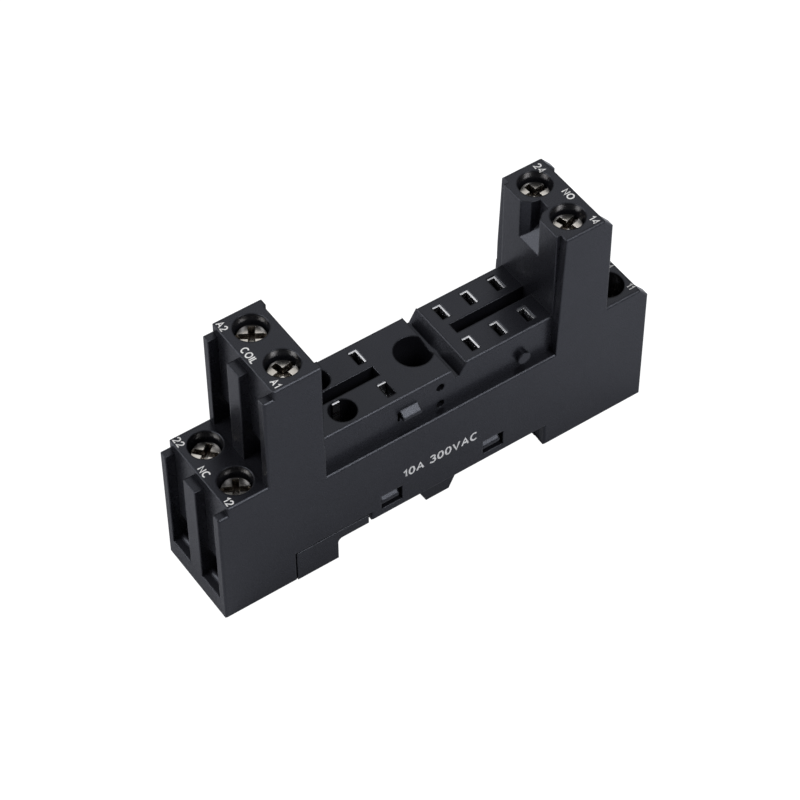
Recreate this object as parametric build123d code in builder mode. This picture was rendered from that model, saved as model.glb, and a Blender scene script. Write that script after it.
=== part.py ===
"""Two-pole relay socket with eight screw terminals for a 35 mm rail, in millimetres.

X runs along the socket, from the coil terminals to the common terminals. Y runs across it
and Z up, with the origin under its middle, on the surface that its feet stand on.
"""

import os

from build123d import *

# Outside of the housing
width = 15.8
height = 44.2
step_height = 24.6
platform_height = 26.9
platform_step = 0.4
left_tower_setback = 8.5
left_tower_length = 9.35
right_tower_setback = 7.8
right_tower_length = 9.3
side_wall = 1.45
edge_chamfer = 0.25

# Ribs and wire channels on the two ends
flange_depth = 1.65
left_flange_drop = 1.6
right_flange_drop = 1.95
right_rib_drop = 4.0
centre_rib = 3.0
end_wall = 1.0
sill_height = 3.4

# Bay between the towers
side_ledge_height = 20.1
left_strip_reach = 0.4
right_strip_reach = 0.15
right_strip_lean = 0.9
groove_left = 41.35
groove_width = 2.6
groove_steep = 0.65
groove_floor = 0.6
groove_depth = 1.9
barrier_slot_width = 2.0
barrier_slot_depth = 7.0
coil_barrier_overlap = 0.8
contact_barrier_overlap = 0.5

# Key channel in the right tower's inner wall
key_mouth = 4.7
key_neck = 2.6
key_flare = 1.2
key_width = 2.0
key_depth = 2.6
key_height = 7.4
key_ramp = 2.45

# Snap nib, moulding holes and boss on the sides of the bay
nib_x = 33.7
nib_length = 3.2
nib_reach = 1.05
nib_top = 24.2
nib_slope = 0.85
nib_thickness = 1.45
nib_gap = 0.35
dimple_x = 39.3
dimple_radius = 0.7
dimple_heights = (24.6, 20.95)
dimple_depth = 1.0
boss_x = 54.0
boss_z = 22.2
boss_radius = 1.1
boss_reach = 0.8

# Relay pins, the module pins beside them and the panel screw
wall_to_coil_pin = 13.75
coil_to_contact = 15.0
pin_pitch = 5.0
contact_pin_to_wall = 2.9
pin_row = 7.5
pin_slot_length = 1.5
pin_slot_width = 2.9
module_to_coil_pin = 7.45
module_row = 7.0
module_radius = 2.15
module_depth = 9.0
coil_pin_to_access = 7.35
access_radius = 3.0
panel_screw_radius = 1.7

# Terminal screws
screw_offset = 0.025
well_radius = 2.65
head_radius = 2.4
head_height = 2.0
head_bevel = 0.45
screw_radius = 1.5
bore_clearance = 0.15
thread_clearance = 0.05
driver_slot_width = 0.85
driver_slot_depth = 0.9
cross_width = 1.0
cross_length = 3.7
cross_depth = 1.3

# Lifting clamps and the chambers that they rise in
lower_floor = 3.5
upper_floor = 24.5
clamp_length = 4.4
clamp_side_play = 0.225
clamp_height = 8.0
clamp_wall = 0.7
clamp_floor = 0.8
clamp_nut = 1.8
clamp_travel = 2.5
wire_hole_height = 5.1
wire_hole_lift = 0.3
play = 0.2

# Contact strips
strip_thickness = 1.0
strip_height = 2.0
riser_width = 0.65
tongue_slack = 0.6
tongue_thickness = 0.6
tongue_side_play = 0.1
strip_clearance = 0.05
strip_play = 0.1
upper_run_height = 15.6
upper_run_thickness = 1.7
spring_wall = 0.3
receptacle_floor = 19.4
receptacle_inset = 0.1
low_wall_drop = 2.2
leaf_width = 1.2

# Bottom insert with its foot, snap hooks, centre foot and rail hook
seam = 0.06
seat_height = 4.4
insert_top = 6.2
foot_start = 12.6
foot_end = 19.9
foot_round = 0.8
arm_end = 25.4
arm_gap = 0.6
hook_face = 18.7
hook_reach = 1.5
hook_top = 3.3
hook_width = 11.0
hook_lip = 0.5
centre_foot_top = 8.4
centre_foot_bottom = 4.2
hook_window_x = (29.6, 48.1)
window_length = 3.8
window_bottom = 5.95
window_top = 8.9
snap_length = 2.9
snap_thickness = 1.0
snap_inset = 0.3

# Rail latch, and its tunnel with room for the spring behind it
latch_width = 6.0
latch_bottom = 0.7
latch_start = 14.0
latch_tip = 24.2
latch_point = 0.6
latch_play = 0.1
tunnel_start = 9.2
pull_slot_x = 17.2
pull_slot_length = 1.2
pull_slot_width = 4.0
pull_slot_depth = 1.5


left_tower_end = left_tower_setback + left_tower_length
right_tower_end = right_tower_setback + right_tower_length
coil_pin_x = left_tower_end + wall_to_coil_pin
length = coil_pin_x + coil_to_contact + 2 * pin_pitch + contact_pin_to_wall + right_tower_end
access_x = coil_pin_x + coil_pin_to_access
module_pin_x = coil_pin_x - module_to_coil_pin
tongue_lift = play + clamp_height - clamp_nut - tongue_slack - tongue_thickness


def left(distance):
    """X at a distance from the coil end."""
    return distance - length / 2


def right(distance):
    """X at a distance from the other end."""
    return length / 2 - distance


half_width = width / 2
inner_half = half_width - side_wall
left_wall_x = left(left_tower_end)
right_wall_x = right(right_tower_end)
left_strip_x = left_wall_x + left_strip_reach
right_strip_x = right_wall_x - right_strip_reach
groove_end = left(groove_left + groove_width)
high_platform = platform_height + platform_step
channel_width = inner_half - centre_rib / 2
channel_y = (inner_half + centre_rib / 2) / 2
screw_y = channel_y + screw_offset
clamp_width = channel_width - 2 * clamp_side_play
tongue_width = clamp_width - 2 * (clamp_wall + tongue_side_play)
contact_pins = [left(coil_pin_x + coil_to_contact + pin_pitch * k) for k in range(3)]


class Stack:
    """One pair of terminals: its end, flange face, top and floor, and where its screws are."""

    def __init__(self, end, setback, top, floor, screw_inset, head_depth):
        self.end = end
        self.setback = setback
        self.top = top
        self.floor = floor
        self.screw_inset = screw_inset
        self.head_top = top - head_depth
        self.clamp_back = screw_inset + clamp_length / 2
        self.chamber_end = self.clamp_back + strip_play + riser_width + strip_clearance

    def x(self, distance):
        """X at a distance behind the stack's flange face."""
        place = self.setback + distance
        return left(place) if self.end == "left" else right(place)


stacks = {
    "left_lower": Stack("left", 0, step_height, lower_floor, 5.4, 1.9),
    "left_upper": Stack("left", left_tower_setback, height, upper_floor, 5.7, 1.8),
    "right_upper": Stack("right", right_tower_setback, height, upper_floor, 5.45, 1.8),
    "right_lower": Stack("right", 0, step_height, lower_floor, 5.05, 3.8),
}

# Each terminal's number, its stack, its row (-1 in front), the pin that it feeds, and the
# angle that its screw's slot was left at
terminals = [
    ("a1", "left_upper", -1, left(coil_pin_x), 12),
    ("a2", "left_upper", 1, left(coil_pin_x), -32),
    ("12", "left_lower", -1, contact_pins[0], -30),
    ("22", "left_lower", 1, contact_pins[0], -48),
    ("11", "right_lower", -1, contact_pins[1], 35),
    ("21", "right_lower", 1, contact_pins[1], -10),
    ("14", "right_upper", -1, contact_pins[2], 15),
    ("24", "right_upper", 1, contact_pins[2], 4),
]


def side_plane(y):
    """The vertical plane along the socket at y, with X and Z as its directions."""
    return Plane((0, y, 0), x_dir=(1, 0, 0), z_dir=(0, -1, 0))


def span(a, b, low, high, y, across, mode=Mode.ADD):
    """A block from X a to b and Z low to high, across wide about y."""
    with BuildSketch(side_plane(y)) as profile:
        with Locations(((a + b) / 2, (low + high) / 2)):
            Rectangle(abs(b - a), high - low)
    extrude(profile.sketch, amount=across / 2, both=True, mode=mode)


def outline(points, y, across, mode=Mode.ADD):
    """A profile through points in X and Z, across wide about y."""
    with BuildSketch(side_plane(y)) as profile:
        with BuildLine():
            Polyline(*points, close=True)
        make_face()
    extrude(profile.sketch, amount=across / 2, both=True, mode=mode)


def break_edge(a, b, y, z, side):
    """Takes the corner off an upper edge at y and z on one side, from X a to b."""
    with BuildSketch(Plane((a, 0, 0), x_dir=(0, side, 0), z_dir=(side, 0, 0))) as profile:
        with BuildLine():
            Polyline((y - edge_chamfer, z), (y, z), (y, z - edge_chamfer), close=True)
        make_face()
    extrude(profile.sketch, amount=side * (b - a), mode=Mode.SUBTRACT)


def platform_at(x):
    """Height of the platform at x: it is a little higher beyond the groove."""
    return high_platform if x > groove_end else platform_height


def save(piece, name):
    """Label a finished piece and write it."""
    piece.part.label = name
    export_step(piece.part, f"parts/{name}.step")


os.makedirs("parts", exist_ok=True)

# Housing: stepped block, cut from outside for its channels and from below for the metal
with BuildPart() as housing:
    foot_left = left(foot_start)
    foot_right = right(hook_face)
    arm_stop = left(arm_end + arm_gap)
    left_tower = left(left_tower_setback)
    right_tower = right(right_tower_setback)
    outline(
        [
            (left(0), 0),
            (foot_left, 0),
            (foot_left, insert_top),
            (arm_stop, insert_top),
            (arm_stop, seat_height),
            (foot_right, seat_height),
            (foot_right, 0),
            (right(0), 0),
            (right(0), step_height - right_flange_drop),
            (right(flange_depth), step_height),
            (right_tower, step_height),
            (right_tower, height - right_flange_drop),
            (right_tower - flange_depth, height),
            (right_wall_x, height),
            (right_wall_x, high_platform),
            (groove_end, high_platform),
            (left(groove_left + groove_steep + groove_floor), platform_height - groove_depth),
            (left(groove_left + groove_steep), platform_height - groove_depth),
            (left(groove_left), platform_height),
            (left_strip_x, platform_height),
            (left_strip_x, height),
            (left_tower + flange_depth, height),
            (left_tower + flange_depth, height - left_flange_drop),
            (left_tower, height - left_flange_drop),
            (left_tower, step_height),
            (left(flange_depth), step_height),
            (left(flange_depth), step_height - left_flange_drop),
            (left(0), step_height - left_flange_drop),
        ],
        0,
        width,
    )
    sides = housing.faces().filter_by(Axis.Y)
    chamfer(sides.edges(), edge_chamfer)
    # The left tower's inner wall stands back between its corner strips
    span(left_wall_x, left_strip_x, platform_height, height, 0, 2 * inner_half, Mode.SUBTRACT)
    # The sides of the bay stand back too, between the strips; the right ones lean outwards
    for side in (-1, 1):
        outline(
            [
                (left_strip_x, side_ledge_height),
                (right_strip_x, side_ledge_height),
                (right_strip_x + right_strip_lean, height),
                (left_strip_x, height),
            ],
            side * (half_width + inner_half) / 2,
            side_wall,
            mode=Mode.SUBTRACT,
        )
        break_edge(left_strip_x, right_strip_x, half_width, side_ledge_height, side)
        break_edge(left_strip_x, left(groove_left), inner_half, platform_height, side)
        break_edge(groove_end, right_wall_x, inner_half, high_platform, side)
    # Room underneath for the bottom insert
    span(left(foot_start), right(hook_face), 0, insert_top + seam, 0, 2 * inner_half, Mode.SUBTRACT)
    for stack in (stacks["left_lower"], stacks["right_lower"]):
        inner = stack.x(flange_depth + end_wall)
        chamber_end = stack.x(stack.chamber_end)
        middle = foot_left if stack.end == "left" else foot_right
        span(inner, middle, 0, lower_floor + seam, 0, 2 * inner_half, Mode.SUBTRACT)
        span(chamber_end, middle, 0, insert_top + seam, 0, 2 * inner_half, Mode.SUBTRACT)
    # Wire channels, wire holes, chambers and screw wells
    for stack in stacks.values():
        sill = sill_height if stack.floor == lower_floor else step_height
        hole_low = stack.floor + wire_hole_lift
        hole_high = hole_low + wire_hole_height
        for side in (-1, 1):
            outline(
                [
                    (stack.x(-1), sill),
                    (stack.x(0), sill),
                    (stack.x(flange_depth), hole_low),
                    (stack.x(flange_depth + end_wall), hole_low),
                    (stack.x(flange_depth + end_wall), hole_high),
                    (stack.x(flange_depth), hole_high),
                    (stack.x(flange_depth), stack.top),
                    (stack.x(-1), stack.top),
                ],
                side * channel_y,
                channel_width,
                mode=Mode.SUBTRACT,
            )
            span(
                stack.x(flange_depth + end_wall),
                stack.x(stack.chamber_end),
                stack.floor,
                stack.floor + play + clamp_height + clamp_travel + play,
                side * channel_y,
                channel_width,
                mode=Mode.SUBTRACT,
            )
            well_x = stack.x(stack.screw_inset)
            well_y = side * screw_y
            with BuildSketch(Plane((well_x, well_y, stack.floor + clamp_height))):
                Circle(screw_radius + bore_clearance)
            extrude(amount=stack.top - stack.floor - clamp_height, mode=Mode.SUBTRACT)
            seat = stack.head_top - head_height - thread_clearance
            with BuildSketch(Plane((well_x, well_y, seat))):
                Circle(well_radius)
            extrude(amount=stack.top - seat, mode=Mode.SUBTRACT)
    # The middle rib starts lower at the right end
    for stack in (stacks["right_upper"], stacks["right_lower"]):
        rib_top = stack.top - right_rib_drop
        span(stack.x(0), stack.x(flange_depth), rib_top, stack.top, 0, centre_rib, Mode.SUBTRACT)
    # Slots in the platform for the relay's pins, the module's pins and their barriers
    for side in (-1, 1):
        for pin_x in [left(coil_pin_x), *contact_pins]:
            span(
                pin_x - pin_slot_length / 2,
                pin_x + pin_slot_length / 2,
                receptacle_floor - strip_clearance,
                platform_at(pin_x),
                side * pin_row / 2,
                pin_slot_width,
                mode=Mode.SUBTRACT,
            )
        with BuildSketch(Plane((left(module_pin_x), side * module_row / 2, platform_height))):
            Circle(module_radius)
        extrude(amount=-module_depth, mode=Mode.SUBTRACT)
    barriers = (
        (left_wall_x, left(coil_pin_x + coil_barrier_overlap)),
        (contact_pins[0] - contact_barrier_overlap, right_wall_x),
    )
    for a, b in barriers:
        span(
            a,
            b,
            platform_height - barrier_slot_depth,
            high_platform,
            0,
            barrier_slot_width,
            mode=Mode.SUBTRACT,
        )
    # Access to the panel screw, down to the insert
    with BuildSketch(Plane((left(access_x), 0, insert_top))):
        Circle(access_radius)
    extrude(amount=platform_height - insert_top, mode=Mode.SUBTRACT)
    # Key channel in the right tower's inner wall
    with BuildSketch(Plane((right_wall_x, 0, height - key_height))):
        with BuildLine():
            Polyline(
                (0, -key_mouth / 2),
                (key_flare, -key_neck / 2),
                (key_depth, -key_width / 2),
                (key_depth, key_width / 2),
                (key_flare, key_neck / 2),
                (0, key_mouth / 2),
                close=True,
            )
        make_face()
    extrude(amount=key_height, mode=Mode.SUBTRACT)
    key_floor = height - key_height
    outline(
        [
            (right_wall_x, key_floor),
            (right_wall_x + key_depth, key_floor),
            (right_wall_x + key_depth, key_floor + key_ramp),
        ],
        0,
        key_mouth,
    )
    # Narrow slots, open to the insert, that the contact strips stand in
    strip_slot = strip_thickness + 2 * strip_clearance
    low_run_top = lower_floor + tongue_lift + strip_height / 2 + tongue_thickness / 2 + strip_clearance
    high_run_top = upper_run_height + upper_run_thickness + strip_clearance
    for name, key, side, pin_x, slot_turn in terminals:
        stack = stacks[key]
        y = side * screw_y
        pin_low = pin_x - pin_slot_length / 2
        pin_high = pin_x + pin_slot_length / 2
        span(pin_low, pin_high, insert_top, receptacle_floor, y, strip_slot, Mode.SUBTRACT)
        far = pin_high if stack.end == "left" else pin_low
        if stack.floor == lower_floor:
            near = stack.x(stack.chamber_end)
            span(near, far, insert_top, low_run_top, y, strip_slot, Mode.SUBTRACT)
        else:
            near = stack.x(stack.clamp_back)
            riser = stack.x(stack.chamber_end)
            span(near, far, insert_top, high_run_top, y, strip_slot, Mode.SUBTRACT)
            span(near, riser, insert_top, upper_floor, y, strip_slot, Mode.SUBTRACT)
        if name in ("a1", "a2"):
            leaf_end = leaf_width / 2 + strip_clearance
            leaf_x = left(module_pin_x)
            module_floor = platform_height - module_depth
            leaf_low = leaf_x - leaf_end
            leaf_high = leaf_x + leaf_end
            span(leaf_low, leaf_high, upper_run_height, module_floor, y, strip_slot, Mode.SUBTRACT)
    # Windows for the insert's snap hooks, with room behind them
    for side in (-1, 1):
        for window_x in hook_window_x:
            span(
                left(window_x - window_length / 2),
                left(window_x + window_length / 2),
                window_bottom,
                window_top,
                side * (half_width + inner_half) / 2,
                side_wall,
                mode=Mode.SUBTRACT,
            )
            span(
                left(window_x - window_length / 2),
                left(window_x + window_length / 2),
                insert_top,
                window_top + seam,
                side * (inner_half - (snap_thickness + 2 * seam) / 2),
                snap_thickness + 2 * seam,
                mode=Mode.SUBTRACT,
            )
        # Snap nib with the gap beside it, moulding dimples and boss
        bay_side = side_plane(side * inner_half)
        span(
            left(nib_x - nib_length / 2 - nib_gap),
            left(nib_x - nib_length / 2),
            nib_top - 1.5 * nib_thickness,
            nib_top - nib_gap,
            side * (inner_half - dimple_depth / 2),
            dimple_depth,
            mode=Mode.SUBTRACT,
        )
        with BuildSketch(Plane((left(nib_x), 0, 0), x_dir=(0, side, 0), z_dir=(side, 0, 0))):
            with BuildLine():
                Polyline(
                    (inner_half - 0.1, nib_top),
                    (inner_half, nib_top),
                    (inner_half + nib_reach, nib_top - nib_slope),
                    (inner_half + nib_reach, nib_top - nib_thickness),
                    (inner_half - 0.1, nib_top - nib_thickness),
                    close=True,
                )
            make_face()
        extrude(amount=nib_length / 2, both=True)
        with BuildSketch(bay_side):
            with Locations(*[(left(dimple_x), z) for z in dimple_heights]):
                Circle(dimple_radius)
        extrude(amount=side * dimple_depth, mode=Mode.SUBTRACT)
        with BuildSketch(bay_side):
            with Locations((left(boss_x), boss_z)):
                Circle(boss_radius)
        extrude(amount=-side * boss_reach)
save(housing, "housing")

# Bottom insert: closes the chambers, and carries the foot, the hooks and the latch
with BuildPart() as base:
    insert_half = inner_half - seam
    insert_start = left(flange_depth + end_wall + seam)
    insert_end = right(flange_depth + end_wall + seam)
    floor_end_left = left(stacks["left_lower"].chamber_end + seam)
    floor_end_right = right(stacks["right_lower"].chamber_end + seam)
    hook_x = right(hook_face)
    outline(
        [
            (insert_start, 0),
            (left(foot_end), 0),
            (left(foot_end), seat_height),
            (left(access_x - centre_foot_top / 2), seat_height),
            (left(access_x - centre_foot_bottom / 2), 0),
            (left(access_x + centre_foot_bottom / 2), 0),
            (left(access_x + centre_foot_top / 2), seat_height),
            (hook_x + seam, seat_height),
            (hook_x + seam, 0),
            (insert_end, 0),
            (insert_end, lower_floor),
            (floor_end_right, lower_floor),
            (floor_end_right, insert_top),
            (floor_end_left, insert_top),
            (floor_end_left, lower_floor),
            (insert_start, lower_floor),
        ],
        0,
        2 * insert_half,
    )
    # Fixed hook that takes the rail's edge, with a slope that leads the rail in
    outline(
        [
            (hook_x + 2 * seam, 0),
            (hook_x + 2 * seam, hook_top),
            (hook_x - hook_reach, hook_top),
            (hook_x - hook_reach, hook_top - hook_lip),
            (hook_x, hook_lip),
            (hook_x, 0),
        ],
        0,
        hook_width,
    )
    # Foot and arm at full width, seen on the socket's sides
    outline(
        [
            (left(foot_start + seam), 0),
            (left(foot_end), 0),
            (left(foot_end), seat_height),
            (left(arm_end), seat_height),
            (left(arm_end), insert_top - seam),
            (left(foot_start + seam), insert_top - seam),
        ],
        0,
        width,
    )
    corner = base.edges().filter_by(Axis.Y).filter_by(
        lambda e: abs(e.center().X - left(foot_end)) < 0.01 and abs(e.center().Z - seat_height) < 0.01
    )
    fillet(corner, foot_round)
    # Hole for the panel screw
    with BuildSketch(Plane((left(access_x), 0, 0))):
        Circle(panel_screw_radius)
    extrude(amount=insert_top, mode=Mode.SUBTRACT)
    # Snap hooks that catch in the housing's windows
    for side in (-1, 1):
        for window_x in hook_window_x:
            snap_x = left(window_x - (window_length - snap_length) / 2 + seam)
            hook_out = half_width - snap_inset
            hook_in = insert_half - snap_thickness
            with BuildSketch(Plane((snap_x, 0, 0), x_dir=(0, side, 0), z_dir=(side, 0, 0))):
                with BuildLine():
                    Polyline(
                        (hook_in, insert_top - seam),
                        (insert_half, insert_top - seam),
                        (insert_half, window_bottom + 1),
                        (hook_out, window_bottom + 1),
                        (hook_out, window_top - 1),
                        (insert_half, window_top - seam),
                        (hook_in, window_top - seam),
                        close=True,
                    )
                make_face()
            extrude(amount=snap_length / 2, both=True)
    # Tunnel for the latch, with a window for the tool that pulls it back
    tunnel_half = latch_width / 2 + latch_play
    span(
        left(tunnel_start),
        left(foot_end),
        latch_bottom - latch_play,
        hook_top + latch_play,
        0,
        2 * tunnel_half,
        mode=Mode.SUBTRACT,
    )
    span(
        left(pull_slot_x - 2 * pull_slot_length),
        left(pull_slot_x + pull_slot_length / 2),
        0,
        latch_bottom,
        0,
        pull_slot_width,
        mode=Mode.SUBTRACT,
    )
save(base, "base")

# Sliding latch: a bar with a sloped tip that snaps over the rail's other edge
with BuildPart() as rail_latch:
    latch_height = hook_top - latch_bottom
    outline(
        [
            (left(latch_start), latch_bottom),
            (left(latch_tip - latch_height + latch_point), latch_bottom),
            (left(latch_tip), hook_top - latch_point),
            (left(latch_tip), hook_top),
            (left(latch_start), hook_top),
        ],
        0,
        latch_width,
    )
    chamfer(rail_latch.edges().filter_by(Axis.X).group_by(Axis.Z)[-1], edge_chamfer)
    span(
        left(pull_slot_x - pull_slot_length / 2),
        left(pull_slot_x + pull_slot_length / 2),
        latch_bottom,
        latch_bottom + pull_slot_depth,
        0,
        pull_slot_width,
        mode=Mode.SUBTRACT,
    )
save(rail_latch, "rail_latch")


def make_screw(x, y, head_top, tip, slot_turn):
    """A terminal screw: round head with a slot and a cross, and a plain shank."""
    with BuildPart() as screw:
        with BuildSketch(Plane((x, y, head_top - head_height))):
            Circle(head_radius)
        extrude(amount=head_height)
        chamfer(screw.edges().group_by(Axis.Z)[-1], head_bevel, head_bevel / 2)
        with BuildSketch(Plane((x, y, head_top))):
            Rectangle(2 * head_radius, driver_slot_width, rotation=slot_turn)
        extrude(amount=-driver_slot_depth, mode=Mode.SUBTRACT)
        with BuildSketch(Plane((x, y, head_top))):
            Rectangle(cross_length, cross_width, rotation=slot_turn)
            Rectangle(cross_width, cross_length, rotation=slot_turn)
        extrude(amount=-cross_depth, taper=8, mode=Mode.SUBTRACT)
        with BuildSketch(Plane((x, y, tip))):
            Circle(screw_radius)
        extrude(amount=head_top - head_height - tip)
        chamfer(screw.edges().group_by(Axis.Z)[0], bore_clearance)
    return screw


def make_clamp(x, y, floor):
    """A lifting clamp: a frame round the wire, with the threaded bridge on top."""
    bottom = floor + play
    with BuildPart() as clamp:
        with BuildSketch(Plane.YZ.offset(x)):
            with Locations((y, bottom + clamp_height / 2)):
                Rectangle(clamp_width, clamp_height)
            with Locations((y, bottom + (clamp_floor + clamp_height - clamp_nut) / 2)):
                Rectangle(
                    clamp_width - 2 * clamp_wall,
                    clamp_height - clamp_nut - clamp_floor,
                    mode=Mode.SUBTRACT,
                )
        extrude(amount=clamp_length / 2, both=True)
        chamfer(clamp.faces().filter_by(Axis.X).edges().filter_by(Axis.Y), edge_chamfer)
        with BuildSketch(Plane((x, y, bottom + clamp_height - clamp_nut))):
            Circle(screw_radius + thread_clearance)
        extrude(amount=clamp_nut, mode=Mode.SUBTRACT)
    return clamp


def make_contact(stack, y, side, pin_x, module, low_wall):
    """A contact: tongue in the clamp, strip through the housing, spring walls at the pin."""
    tongue_low = stack.floor + tongue_lift
    tongue_high = tongue_low + tongue_thickness
    tongue_start = stack.x(stack.screw_inset - clamp_length / 2)
    riser_near = stack.x(stack.clamp_back + strip_play)
    riser_far = stack.x(stack.clamp_back + strip_play + riser_width)
    pin_near = pin_x - pin_slot_length / 2 + strip_clearance
    pin_far = pin_x + pin_slot_length / 2 - strip_clearance
    wall_top = platform_at(pin_x) - receptacle_inset
    long_wall_top = wall_top - low_wall_drop if low_wall else wall_top
    row_y = side * pin_row / 2
    half_slot = pin_slot_width / 2 - strip_clearance / 2
    with BuildPart() as contact:
        span(tongue_start, riser_far, tongue_low, tongue_high, y, tongue_width)
        if stack.floor == lower_floor:
            run_low = tongue_low + tongue_thickness / 2 - strip_height / 2
            run_high = run_low + strip_height
            span(riser_near, riser_far, run_low, run_high, y, strip_thickness)
        else:
            run_low = upper_run_height
            run_high = upper_run_height + upper_run_thickness
            span(riser_near, riser_far, run_low, tongue_high, y, strip_thickness)
        far = pin_far if stack.end == "left" else pin_near
        span(riser_near, far, run_low, run_high, y, strip_thickness)
        span(pin_near, pin_far, run_low, receptacle_floor + spring_wall, y, strip_thickness)
        # Receptacle floor, long wall, back wall and a shorter wall facing them
        span(
            pin_near,
            pin_far,
            receptacle_floor,
            receptacle_floor + spring_wall,
            row_y,
            2 * half_slot,
        )
        span(pin_far - spring_wall, pin_far, receptacle_floor, long_wall_top, row_y, 2 * half_slot)
        span(
            pin_near,
            pin_near + spring_wall,
            receptacle_floor,
            wall_top - low_wall_drop,
            row_y,
            2 * half_slot,
        )
        span(
            pin_near,
            pin_far,
            receptacle_floor,
            wall_top,
            row_y + half_slot - spring_wall / 2,
            spring_wall,
        )
        if module:
            leaf_y = side * module_row / 2 + module_radius - spring_wall - strip_clearance
            leaf_x = left(module_pin_x)
            reach_low = min(y - strip_thickness / 2, leaf_y - spring_wall / 2)
            reach_high = max(y + strip_thickness / 2, leaf_y + spring_wall / 2)
            foot_low = platform_height - module_depth + strip_clearance
            foot_high = foot_low + spring_wall
            leaf_low = leaf_x - leaf_width / 2
            leaf_high = leaf_x + leaf_width / 2
            reach_middle = (reach_low + reach_high) / 2
            span(leaf_low, leaf_high, run_high, foot_high, y, strip_thickness)
            span(leaf_low, leaf_high, foot_low, foot_high, reach_middle, reach_high - reach_low)
            span(leaf_low, leaf_high, foot_low, wall_top, leaf_y, spring_wall)
    return contact


for name, key, side, pin_x, slot_turn in terminals:
    stack = stacks[key]
    terminal_x = stack.x(stack.screw_inset)
    terminal_y = side * screw_y
    tip = stack.floor + tongue_lift + tongue_thickness + thread_clearance
    screw = make_screw(terminal_x, terminal_y, stack.head_top, tip, slot_turn)
    save(screw, f"screw_{name}")
    save(make_clamp(terminal_x, terminal_y, stack.floor), f"clamp_{name}")
    contact = make_contact(stack, terminal_y, side, pin_x, name in ("a1", "a2"), name == "a1")
    save(contact, f"contact_{name}")
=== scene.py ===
# %% [markdown]
# # A relay socket for a 35 mm rail
#
# The object is a narrow block of charcoal plastic with two towers. A relay plugs in between
# them, and eight screws clamp the wires at the ends. Its exact shape comes from the packed
# CAD model, so this lesson adds what that model has no words for: the grain of the moulded
# plastic, plated metal, printed marks, a camera and light.

import math

import bmesh
import bpy
from mathutils import Matrix, Vector


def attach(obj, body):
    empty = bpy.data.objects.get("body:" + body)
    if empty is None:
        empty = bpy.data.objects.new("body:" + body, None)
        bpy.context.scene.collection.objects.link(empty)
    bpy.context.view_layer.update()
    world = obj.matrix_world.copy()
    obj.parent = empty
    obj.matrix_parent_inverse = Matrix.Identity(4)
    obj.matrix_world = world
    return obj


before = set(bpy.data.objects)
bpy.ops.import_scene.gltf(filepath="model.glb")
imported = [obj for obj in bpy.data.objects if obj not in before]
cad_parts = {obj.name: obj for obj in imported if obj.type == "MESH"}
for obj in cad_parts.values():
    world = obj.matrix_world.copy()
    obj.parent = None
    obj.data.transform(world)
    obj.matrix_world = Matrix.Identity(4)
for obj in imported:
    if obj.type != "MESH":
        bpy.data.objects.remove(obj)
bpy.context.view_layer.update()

# %% [markdown]
# ## The camera
#
# The photograph was taken from above the coil end with a long lens. Its place was worked out
# from some forty corners and circles whose sizes are known, so here it is only written down.
# A camera looks along its own -Z, so its rotation is built from three directions: right, up
# and back. That is easier to check than three angles.

# %% Place the camera
azimuth = math.radians(-34.34)
elevation = math.radians(49.60)
roll = math.radians(-0.39)
distance = 0.4312
aim = Vector((-0.0017, 0.00008, 0.01738))
focal_pixels = 2904.2
image_pixels = 800

back = Vector(
    (
        math.sin(azimuth) * math.cos(elevation),
        -math.cos(azimuth) * math.cos(elevation),
        math.sin(elevation),
    )
)
level = Vector((math.cos(azimuth), math.sin(azimuth), 0))
steep = back.cross(level)
right = level * math.cos(roll) + steep * math.sin(roll)
up = steep * math.cos(roll) - level * math.sin(roll)

lens = bpy.data.cameras.new("photo_camera")
lens.sensor_width = 36
lens.lens = focal_pixels / image_pixels * lens.sensor_width
lens.clip_start = 0.01
lens.clip_end = 20
camera = bpy.data.objects.new("photo_camera", lens)
camera.matrix_world = Matrix.Translation(aim + back * distance) @ Matrix(
    (
        (right.x, up.x, back.x, 0),
        (right.y, up.y, back.y, 0),
        (right.z, up.z, back.z, 0),
        (0, 0, 0, 1),
    )
)
bpy.context.scene.collection.objects.link(camera)
bpy.context.scene.camera = camera
bpy.context.scene.view_settings.view_transform = "Standard"
print("lens", round(lens.lens, 1), "mm")

# %% [markdown]
# ## A small helper for materials
#
# Every material below is a handful of nodes. One helper makes the material, and another
# adds a node with its values and its links in one call, so that each recipe
# reads from top to bottom like a list. The rest name what the recipes share: a colour ramp, a
# change of range, a mix of two colours, and a mask that tells open faces from recesses. The
# last one puts an object into the scene.

# %% Material helpers
def new_finish(name):
    finish = bpy.data.materials.new(name)
    finish.use_nodes = True
    finish.node_tree.nodes.clear()
    output = finish.node_tree.nodes.new("ShaderNodeOutputMaterial")
    return finish, output


def node(finish, kind, inputs=None, **settings):
    made = finish.node_tree.nodes.new(kind)
    for key, value in settings.items():
        setattr(made, key, value)
    for key, value in (inputs or {}).items():
        if isinstance(value, bpy.types.NodeSocket):
            finish.node_tree.links.new(value, made.inputs[key])
        else:
            made.inputs[key].default_value = value
    return made


def ramp(finish, factor, stops):
    made = node(finish, "ShaderNodeValToRGB", {"Fac": factor})
    elements = made.color_ramp.elements
    while len(elements) < len(stops):
        elements.new(0.5)
    for element, (place, colour) in zip(elements, stops):
        element.position = place
        element.color = (*colour, 1)
    return made.outputs["Color"]


def mapped(finish, value, low, high, to_low=0.0, to_high=1.0):
    """A value carried from one range to another, and held inside it."""
    limits = {"From Min": low, "From Max": high, "To Min": to_low, "To Max": to_high}
    return node(finish, "ShaderNodeMapRange", {"Value": value, **limits}).outputs["Result"]


def mixed_colour(finish, share, first, second):
    return node(
        finish, "ShaderNodeMix", {"Factor": share, 6: first, 7: second}, data_type="RGBA"
    ).outputs[2]


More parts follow.
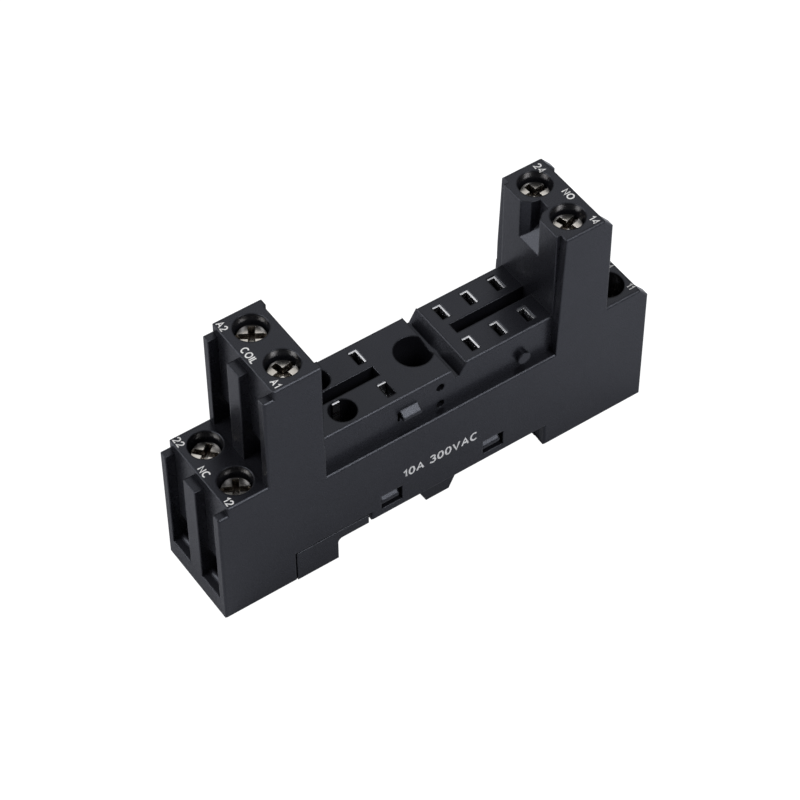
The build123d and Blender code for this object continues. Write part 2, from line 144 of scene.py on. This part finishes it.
def open_mask(finish, reach, low, high, only_local=True):
    """One where a face lies in the open, zero in a corner or a recess."""
    light = node(
        finish,
        "ShaderNodeAmbientOcclusion",
        {"Distance": reach},
        samples=6,
        only_local=only_local,
    ).outputs["AO"]
    return mapped(finish, light, low, high)


def add_object(name, data):
    made = bpy.data.objects.new(name, data)
    bpy.context.scene.collection.objects.link(made)
    return made


print("materials so far", len(bpy.data.materials))

# %% [markdown]
# ## Moulded charcoal plastic
#
# The housing is moulded in a polished tool, so the plastic is black with a satin shine and a
# faint, even grain. Two noise textures in object space make the grain and a cloudy tone, and
# both keep their size in millimetres on every face. The Bevel node rounds the light on each
# edge by a few tenths of a millimetre, as a real moulding is rounded, and no extra mesh is
# needed. It would round inner corners too, which catch no light in reality, so ambient
# occlusion switches it off there. The turn of the normal also finds the edges, which get a
# painted highlight: a lighter colour. A cool tint of the shine matches the photograph.

# %% Plastic
grain_scale = 5200
cloud_scale = 160
edge_rounding = 0.00038
corner_reach = 0.0007
grain_depth = 0.00002
# The lighter edge colour is a painted highlight.
edge_highlight_colour = (0.045, 0.047, 0.052, 1)
cool_tint = (0.82, 0.86, 1.0, 1)


def moulded_plastic(name, dark, light, roughness, grain):
    finish, output = new_finish(name)
    place = node(finish, "ShaderNodeTexCoord").outputs["Object"]
    fine = node(
        finish,
        "ShaderNodeTexNoise",
        {"Vector": place, "Scale": grain_scale, "Detail": 4, "Roughness": 0.6},
    ).outputs["Fac"]
    cloud = node(
        finish,
        "ShaderNodeTexNoise",
        {"Vector": place, "Scale": cloud_scale, "Detail": 5, "Roughness": 0.62},
    ).outputs["Fac"]
    body = ramp(finish, cloud, [(0.3, dark), (0.7, light)])
    sharp = node(finish, "ShaderNodeNewGeometry").outputs["Normal"]
    rounded = node(
        finish, "ShaderNodeBevel", {"Radius": edge_rounding}, samples=8
    ).outputs["Normal"]
    outer = open_mask(finish, corner_reach, low=0.72, high=0.92)
    facing = node(
        finish, "ShaderNodeMix", {"Factor": outer, 4: sharp, 5: rounded}, data_type="VECTOR"
    ).outputs[1]
    facing = node(
        finish, "ShaderNodeVectorMath", {0: facing}, operation="NORMALIZE"
    ).outputs["Vector"]
    along = node(
        finish, "ShaderNodeVectorMath", {0: facing, 1: sharp}, operation="DOT_PRODUCT"
    ).outputs["Value"]
    # Painted highlight: edges where the rounded normal turns away get a lighter colour.
    edge = mapped(finish, along, low=1.0, high=0.72)
    painted_edge_highlight = node(
        finish,
        "ShaderNodeMath",
        {0: edge, 1: cloud},
        operation="MULTIPLY",
        use_clamp=True,
    ).outputs["Value"]
    colour = mixed_colour(finish, painted_edge_highlight, body, edge_highlight_colour)
    sheen = mapped(finish, fine, 0.3, 0.7, roughness - 0.04, roughness + 0.05)
    bump = node(
        finish,
        "ShaderNodeBump",
        {"Strength": grain, "Distance": grain_depth, "Height": fine, "Normal": facing},
    ).outputs["Normal"]
    shader = node(
        finish,
        "ShaderNodeBsdfPrincipled",
        {
            "Base Color": colour,
            "Roughness": sheen,
            "Normal": bump,
            "IOR": 1.5,
            "Specular Tint": cool_tint,
        },
    )
    finish.node_tree.links.new(shader.outputs["BSDF"], output.inputs["Surface"])
    return finish


housing_plastic = moulded_plastic(
    "housing_plastic",
    dark=(0.0080, 0.0082, 0.0108),
    light=(0.0115, 0.0118, 0.0150),
    roughness=0.29,
    grain=0.3,
)
insert_plastic = moulded_plastic(
    "insert_plastic",
    dark=(0.0075, 0.0078, 0.0102),
    light=(0.0108, 0.0111, 0.0142),
    roughness=0.28,
    grain=0.3,
)
latch_plastic = moulded_plastic(
    "latch_plastic",
    dark=(0.0070, 0.0073, 0.0095),
    light=(0.0100, 0.0103, 0.0132),
    roughness=0.26,
    grain=0.25,
)
print("plastics", housing_plastic.name, insert_plastic.name, latch_plastic.name)

# %% [markdown]
# ## Plated metal
#
# The screws are turned and nickel plated, so their heads carry faint rings round the axis
# and a slightly warm shine. The rings come from the distance to the middle of each screw's
# own box, which the Generated coordinates give. In the recess, ambient occlusion darkens
# the colour as painted shade. The clamps and contacts are pressed from
# strip: their zinc and tin are greyer, cloudy and drawn along one direction, with no rings.
# They sit deep in the housing, so their colour fades towards black as painted shade where the
# walls around them close in: only the upper edges of the contacts shine in the relay's slots.

# %% Metals
tool_mark_depth = 0.00001


def metal_surface(finish, output, colour, roughness, marks_height, strength, rounding):
    rounded = node(finish, "ShaderNodeBevel", {"Radius": rounding}, samples=4).outputs["Normal"]
    bump = node(
        finish,
        "ShaderNodeBump",
        {
            "Strength": strength,
            "Distance": tool_mark_depth,
            "Height": marks_height,
            "Normal": rounded,
        },
    ).outputs["Normal"]
    shader = node(
        finish,
        "ShaderNodeBsdfPrincipled",
        {"Base Color": colour, "Metallic": 1.0, "Roughness": roughness, "Normal": bump},
    )
    finish.node_tree.links.new(shader.outputs["BSDF"], output.inputs["Surface"])
    return finish


def turned_metal(name, dark, light, recess, roughness):
    finish, output = new_finish(name)
    coordinates = node(finish, "ShaderNodeTexCoord")
    centred = node(
        finish,
        "ShaderNodeVectorMath",
        {0: coordinates.outputs["Generated"], 1: (-0.5, -0.5, 0)},
        operation="ADD",
    ).outputs["Vector"]
    flat = node(
        finish, "ShaderNodeVectorMath", {0: centred, 1: (1, 1, 0)}, operation="MULTIPLY"
    ).outputs["Vector"]
    radius = node(finish, "ShaderNodeVectorMath", {0: flat}, operation="LENGTH").outputs["Value"]
    rings = node(
        finish, "ShaderNodeTexNoise", {"W": radius, "Scale": 40, "Detail": 2}, noise_dimensions="1D"
    ).outputs["Fac"]
    cloud = node(
        finish,
        "ShaderNodeTexNoise",
        {"Vector": coordinates.outputs["Object"], "Scale": 500, "Detail": 3},
    ).outputs["Fac"]
    plating = ramp(finish, cloud, [(0.35, dark), (0.65, light)])
    # Painted shade: ambient occlusion darkens the colour in the recess.
    unshaded = open_mask(finish, reach=0.0009, low=0.5, high=0.88)
    colour = mixed_colour(finish, unshaded, (*recess, 1), plating)
    return metal_surface(
        finish, output, colour, roughness, rings, strength=0.12, rounding=0.00012
    )


def pressed_metal(name, dark, light, recess, roughness):
    finish, output = new_finish(name)
    place = node(finish, "ShaderNodeTexCoord").outputs["Object"]
    cloud = node(
        finish, "ShaderNodeTexNoise", {"Vector": place, "Scale": 700, "Detail": 5, "Roughness": 0.6}
    ).outputs["Fac"]
    stretched = node(
        finish, "ShaderNodeVectorMath", {0: place, 1: (400, 400, 6000)}, operation="MULTIPLY"
    ).outputs["Vector"]
    drawn = node(
        finish, "ShaderNodeTexNoise", {"Vector": stretched, "Scale": 1, "Detail": 2}
    ).outputs["Fac"]
    plating = ramp(finish, cloud, [(0.3, dark), (0.7, light)])
    # Painted shade: the colour fades towards black where the walls around the part close in.
    unshaded = open_mask(finish, reach=0.0015, low=0.25, high=0.5, only_local=False)
    colour = mixed_colour(finish, unshaded, (*recess, 1), plating)
    shine = mapped(finish, drawn, 0.3, 0.7, roughness - 0.08, roughness + 0.08)
    return metal_surface(finish, output, colour, shine, drawn, strength=0.2, rounding=0.00006)


# The recess colour of each metal below is painted shade.
nickel = turned_metal(
    "nickel_screw",
    dark=(0.66, 0.62, 0.57),
    light=(0.80, 0.77, 0.72),
    recess=(0.10, 0.08, 0.065),
    roughness=0.24,
)
zinc = pressed_metal(
    "zinc_clamp",
    dark=(0.40, 0.39, 0.37),
    light=(0.58, 0.57, 0.54),
    recess=(0.10, 0.10, 0.10),
    roughness=0.38,
)
tin = pressed_metal(
    "tin_contact",
    dark=(0.72, 0.73, 0.76),
    light=(0.86, 0.87, 0.90),
    recess=(0.02, 0.02, 0.025),
    roughness=0.30,
)
print("metals", nickel.name, zinc.name, tin.name)

# %% [markdown]
# ## Dressing the CAD nodes
#
# Each node's name says what it is, so the first word of the name picks its finish. The mesh
# isn't touched: only its material slots change.

# %% Give every node its finish
finishes = {
    "housing": housing_plastic,
    "base": insert_plastic,
    "rail": latch_plastic,
    "screw": nickel,
    "clamp": zinc,
    "contact": tin,
}
for name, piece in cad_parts.items():
    chosen = finishes[name.split("_")[0]]
    piece.data.materials.clear()
    piece.data.materials.append(chosen)
print("dressed", len(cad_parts))

# %% [markdown]
# ## Printed marks
#
# White ink was stamped on the finished moulding: the terminal numbers, the function of
# each pair and the rating, as sockets of this kind carry them. The letters are drawn as
# strokes of even width: a glyph is its width and a few lines of points, and an arc is a line
# with many points. Where two strokes of a letter cross, the second lies a hair higher. The ink
# is uneven, so noise makes it greyer in places.

# %% White ink
def stamped_ink(name):
    finish, output = new_finish(name)
    place = node(finish, "ShaderNodeTexCoord").outputs["Object"]
    patches = node(
        finish, "ShaderNodeTexNoise", {"Vector": place, "Scale": 2600, "Detail": 4}
    ).outputs["Fac"]
    colour = ramp(finish, patches, [(0.3, (0.62, 0.62, 0.62)), (0.5, (0.9, 0.9, 0.9))])
    bump = node(
        finish, "ShaderNodeBump", {"Strength": 0.3, "Distance": 0.00001, "Height": patches}
    ).outputs["Normal"]
    shader = node(
        finish,
        "ShaderNodeBsdfPrincipled",
        {"Base Color": colour, "Roughness": 0.55, "Normal": bump},
    )
    finish.node_tree.links.new(shader.outputs["BSDF"], output.inputs["Surface"])
    return finish


white_ink = stamped_ink("white_ink")
print("ink", white_ink.name)

# %% Glyphs
arc_steps = 14


def arc(x, y, reach_x, reach_y, start, end):
    turns = [math.radians(start + (end - start) * k / arc_steps) for k in range(arc_steps + 1)]
    return [(x + reach_x * math.cos(turn), y + reach_y * math.sin(turn)) for turn in turns]


glyphs = {
    "0": (0.60, [arc(0.30, 0.5, 0.30, 0.5, 90, 450)]),
    "1": (0.34, [[(0.0, 0.72), (0.30, 1.0), (0.30, 0.0)]]),
    "2": (0.60, [arc(0.29, 0.70, 0.29, 0.30, 170, -38) + [(0.0, 0.0), (0.60, 0.0)]]),
    "3": (0.60, [arc(0.28, 0.76, 0.27, 0.24, 160, -95), arc(0.28, 0.27, 0.31, 0.27, 95, -160)]),
    "4": (0.64, [[(0.50, 0.0), (0.50, 1.0), (0.0, 0.28), (0.64, 0.28)]]),
    "A": (0.76, [[(0.0, 0.0), (0.38, 1.0), (0.76, 0.0)], [(0.14, 0.34), (0.62, 0.34)]]),
    "C": (0.74, [arc(0.40, 0.5, 0.40, 0.5, 48, 312)]),
    "I": (0.0, [[(0.0, 0.0), (0.0, 1.0)]]),
    "L": (0.50, [[(0.0, 1.0), (0.0, 0.0), (0.50, 0.0)]]),
    "M": (0.78, [[(0.0, 0.0), (0.0, 1.0), (0.39, 0.2), (0.78, 1.0), (0.78, 0.0)]]),
    "N": (0.64, [[(0.0, 0.0), (0.0, 1.0), (0.64, 0.0), (0.64, 1.0)]]),
    "O": (0.84, [arc(0.42, 0.5, 0.42, 0.5, 90, 450)]),
    "V": (0.74, [[(0.0, 1.0), (0.37, 0.0), (0.74, 1.0)]]),
    " ": (0.20, []),
}
stroke = 0.21
letter_gap = 0.32
sharpest_corner = 1.5


def edges_of(points):
    """The two edges of a stroke of even width along some points, with mitred corners."""
    points = [Vector(point) for point in points]
    ahead = [(b - a).normalized() for a, b in zip(points, points[1:])]
    pairs = []
    for point, before, after in zip(points, ahead[:1] + ahead, ahead + ahead[-1:]):
        across = (before + after).normalized().orthogonal()
        stretch = min(1 / across.dot(before.orthogonal()), sharpest_corner)
        offset = across * stroke / 2 * stretch
        pairs.append((point + offset, point - offset))
    return pairs


def word(words):
    """Corners and faces of a word one unit high, with its width."""
    corners, faces, pen, layer = [], [], 0.0, 0
    for letter in words:
        wide, lines = glyphs[letter]
        for line in lines:
            start = len(corners)
            for pair in edges_of(line):
                corners.extend(
                    (pen + edge.x, edge.y * (1 - stroke) + stroke / 2, layer) for edge in pair
                )
            layer = 1 - layer
            for k in range(start, len(corners) - 2, 2):
                faces.append((k, k + 1, k + 3, k + 2))
        pen += wide + letter_gap
        layer = 0
    return corners, faces, pen - letter_gap


print("glyphs", "".join(sorted(glyphs)))

# %% Lay one mark on a face
body_of_socket = "socket"
ink_lift = 0.000012
ink_layer = 0.000002
ink_thickness = 0.00001


def stamp(name, words, middle, reading, top, height, length):
    corners, faces, wide = word(words)
    stretch = (length - height * stroke) / wide
    reading = Vector(reading)
    top = Vector(top)
    outward = reading.cross(top)
    mesh = bpy.data.meshes.new(name)
    mesh.from_pydata(
        [
            Vector(middle)
            + reading * (x - wide / 2) * stretch
            + top * (y - 0.5) * height
            + outward * (ink_lift + layer * ink_layer)
            for x, y, layer in corners
        ],
        [],
        faces,
    )
    mesh.materials.append(white_ink)
    piece = add_object(name, mesh)
    solid = piece.modifiers.new("ink", "SOLIDIFY")
    solid.thickness = ink_thickness
    solid.offset = 0
    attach(piece, body_of_socket)
    return piece


print("ink stands", round(ink_lift * 1000, 3), "mm off the face")

# %% Terminal numbers and functions
# Each row holds a name, its letters, X and Y in millimetres, the height of its face and the
# length of the word in millimetres
step_top = 0.0246
tower_top = 0.0442
front_wall = -0.0079
toward_front = (0, -1, 0)
away_from_end = (1, 0, 0)
cap_height = 0.00135
marks = [
    ("mark_a2", "A2", -27.3, 6.5, tower_top, 1.9),
    ("mark_coil", "COIL", -27.1, -0.2, tower_top, 3.3),
    ("mark_a1", "A1", -26.9, -6.6, tower_top, 1.6),
    ("mark_22", "22", -35.75, 6.6, step_top, 1.9),
    ("mark_nc", "NC", -35.7, -0.15, step_top, 2.15),
    ("mark_12", "12", -35.75, -6.7, step_top, 1.6),
    ("mark_24", "24", 27.5, 6.2, tower_top, 1.9),
    ("mark_no", "NO", 27.75, -0.5, tower_top, 2.2),
    ("mark_14", "14", 27.7, -6.75, tower_top, 1.6),
    ("mark_21", "21", 35.9, 6.6, step_top, 1.6),
    ("mark_com", "COM", 35.9, 0.0, step_top, 3.2),
    ("mark_11", "11", 35.95, -6.35, step_top, 1.15),
]
for name, words, x, y, z, long in marks:
    middle = (x / 1000, y / 1000, z)
    stamp(name, words, middle, toward_front, away_from_end, cap_height, long / 1000)
rating_middle = (0.0001, front_wall, 0.01135)
stamp(
    "mark_rating", "10A 300VAC", rating_middle, (1, 0, 0), (0, 0, 1), height=0.0019, length=0.0137
)
print("marks", len(marks) + 1)

# %% [markdown]
# ## Two rounded forms the CAD model leaves out
#
# The photograph shows a lit lip where each lower wire hole meets the floor of its channel, and
# a rounded face on each snap hook that fills most of its window. Both are a few tenths of a
# millimetre of plastic, so they are a look and not a size. Each is a bar: one outline, carried
# along a straight line.

# %% A bar with an even outline
def bar(name, finish, first_end, last_end):
    count = len(first_end)
    faces = [(k, (k + 1) % count, count + (k + 1) % count, count + k) for k in range(count)]
    faces.append(tuple(range(count)))
    faces.append(tuple(range(count, 2 * count)))
    mesh = bpy.data.meshes.new(name)
    mesh.from_pydata(first_end + last_end, [], faces)
    shell = bmesh.new()
    shell.from_mesh(mesh)
    bmesh.ops.recalc_face_normals(shell, faces=shell.faces)
    shell.to_mesh(mesh)
    shell.free()
    mesh.materials.append(finish)
    piece = add_object(name, mesh)
    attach(piece, body_of_socket)
    return piece


print("bars ride on", body_of_socket)

# %% Lips of the wire holes
coil_end = -0.0383
lip_back = coil_end + 0.0020
lip_reach = 0.0009
lip_floor = 0.0034
lip_height = 0.0009
channel_inner = 0.0015
channel_outer = 0.00645
lip_steps = 8
lip_turns = [math.radians(90 * k / lip_steps) for k in range(lip_steps + 1)]
lip_outline = [
    (lip_back - lip_reach * math.sin(turn), lip_floor + lip_height * math.cos(turn))
    for turn in lip_turns
]
lip_outline.append((lip_back, lip_floor))
for name, side in (("lip_12", -1), ("lip_22", 1)):
    ends = [
        [(x, side * y, z) for x, z in lip_outline] for y in (channel_inner, channel_outer)
    ]
    lip = bar(name, housing_plastic, *ends)
    print(lip.name)

# %% Rounded faces of the snap hooks
window_middles = {"left": -0.0087, "right": 0.0098}
window_half = 0.0019
hook_start = 0.00005
hook_end = 0.00315
hook_outline = [
    (0.0070, 0.0066),
    (0.0075, 0.00662),
    (0.00768, 0.00676),
    (0.0078, 0.00698),
    (0.00786, 0.00725),
    (0.00788, 0.00764),
    (0.0070, 0.00852),
]
for end_name, middle in window_middles.items():
    for side_name, side in (("front", -1), ("back", 1)):
        ends = [
            [(middle - window_half + along, side * y, z) for y, z in hook_outline]
            for along in (hook_start, hook_end)
        ]
        face = bar(f"snap_{end_name}_{side_name}", insert_plastic, *ends)
        print(face.name)

# %% [markdown]
# ## Floor, world and light
#
# The photograph is a packshot: a white ground with hardly a shadow, and light from large
# soft sources. The floor is a pale material that the camera sees as nearly white, while its
# share of plain diffuse keeps the object's shadow. Its diffuse colour gets lighter along X as a
# painted pool of light, so that the walls that look down on it are lighter towards the far end.
#
# The lamps stand where the bright edges of the photograph ask for them: mirroring the camera's
# direction in an edge's chamfer gives the direction of its lamp. The two lamps beside the
# camera make the pair of soft lights on the wall of each screw well.

# %% Floor and world
glow_share = 0.86
floor_reach = 3.0
floor_gap = 0.00002
world_light = 0.115
world_seen = 1.0

ground, ground_output = new_finish("pale_ground")
seen = node(ground, "ShaderNodeLightPath").outputs["Is Camera Ray"]
share = node(
    ground, "ShaderNodeMath", {0: seen, 1: glow_share}, operation="MULTIPLY"
).outputs["Value"]
spot = node(ground, "ShaderNodeTexCoord").outputs["Object"]
along_x = node(ground, "ShaderNodeSeparateXYZ", {"Vector": spot}).outputs["X"]
# Painted pool of light: the floor's diffuse colour lightens along X.
light_pool_share = mapped(ground, along_x, low=-0.03, high=0.06)
painted_light_pool = ramp(ground, light_pool_share, [(0.0, (0.62, 0.63, 0.68)), (1.0, (0.90, 0.92, 1.0))])
matte = node(ground, "ShaderNodeBsdfDiffuse", {"Color": painted_light_pool}).outputs["BSDF"]
glow = node(
    ground, "ShaderNodeEmission", {"Color": (1, 1, 1, 1), "Strength": 1.2}
).outputs["Emission"]
mixed = node(ground, "ShaderNodeMixShader", {0: share, 1: matte, 2: glow}).outputs["Shader"]
ground.node_tree.links.new(mixed, ground_output.inputs["Surface"])

floor_corners = [
    (x * floor_reach, y * floor_reach, 0) for x, y in ((-1, -1), (1, -1), (1, 1), (-1, 1))
]
floor_mesh = bpy.data.meshes.new("floor")
floor_mesh.from_pydata(floor_corners, [], [(0, 1, 2, 3)])
floor_mesh.materials.append(ground)
floor = add_object("floor", floor_mesh)
floor.location.z = -floor_gap

world = bpy.data.worlds.new("studio")
world.use_nodes = True
bpy.context.scene.world = world
sky = world.node_tree.nodes["Background"]
sky_rays = world.node_tree.nodes.new("ShaderNodeLightPath")
sky_level = world.node_tree.nodes.new("ShaderNodeMapRange")
world.node_tree.links.new(sky_rays.outputs["Is Camera Ray"], sky_level.inputs["Value"])
sky_level.inputs["To Min"].default_value = world_light
sky_level.inputs["To Max"].default_value = world_seen
world.node_tree.links.new(sky_level.outputs["Result"], sky.inputs["Strength"])
sky.inputs["Color"].default_value = (1, 1, 1, 1)
print("floor at", floor.location.z)

# %% Lamps
lamp_aim = Vector((0, 0, 0.02))
lamp_distance = 0.9


def soft_lamp(name, direction, size, power):
    lamp = bpy.data.lights.new(name, "AREA")
    lamp.shape = "SQUARE"
    lamp.size = size
    lamp.energy = power
    holder = add_object(name, lamp)
    away = Vector(direction).normalized()
    holder.location = lamp_aim + away * lamp_distance
    holder.rotation_mode = "QUATERNION"
    holder.rotation_quaternion = away.to_track_quat("Z", "Y")
    return holder


lamps = [
    soft_lamp("overhead", (0.35, 0.5, 0.79), size=0.6, power=0.8),
    soft_lamp("right_of_camera", (0.20, -0.62, 0.76), size=0.3, power=2.2),
    soft_lamp("left_of_camera", (-0.63, 0.14, 0.76), size=0.3, power=2.0),
    soft_lamp("front_edge", (0.37, -0.74, 0.56), size=0.25, power=1.15),
    soft_lamp("end_edge", (-0.76, 0.54, 0.39), size=0.5, power=2.6),
]
print("lamps", [lamp.name for lamp in lamps])
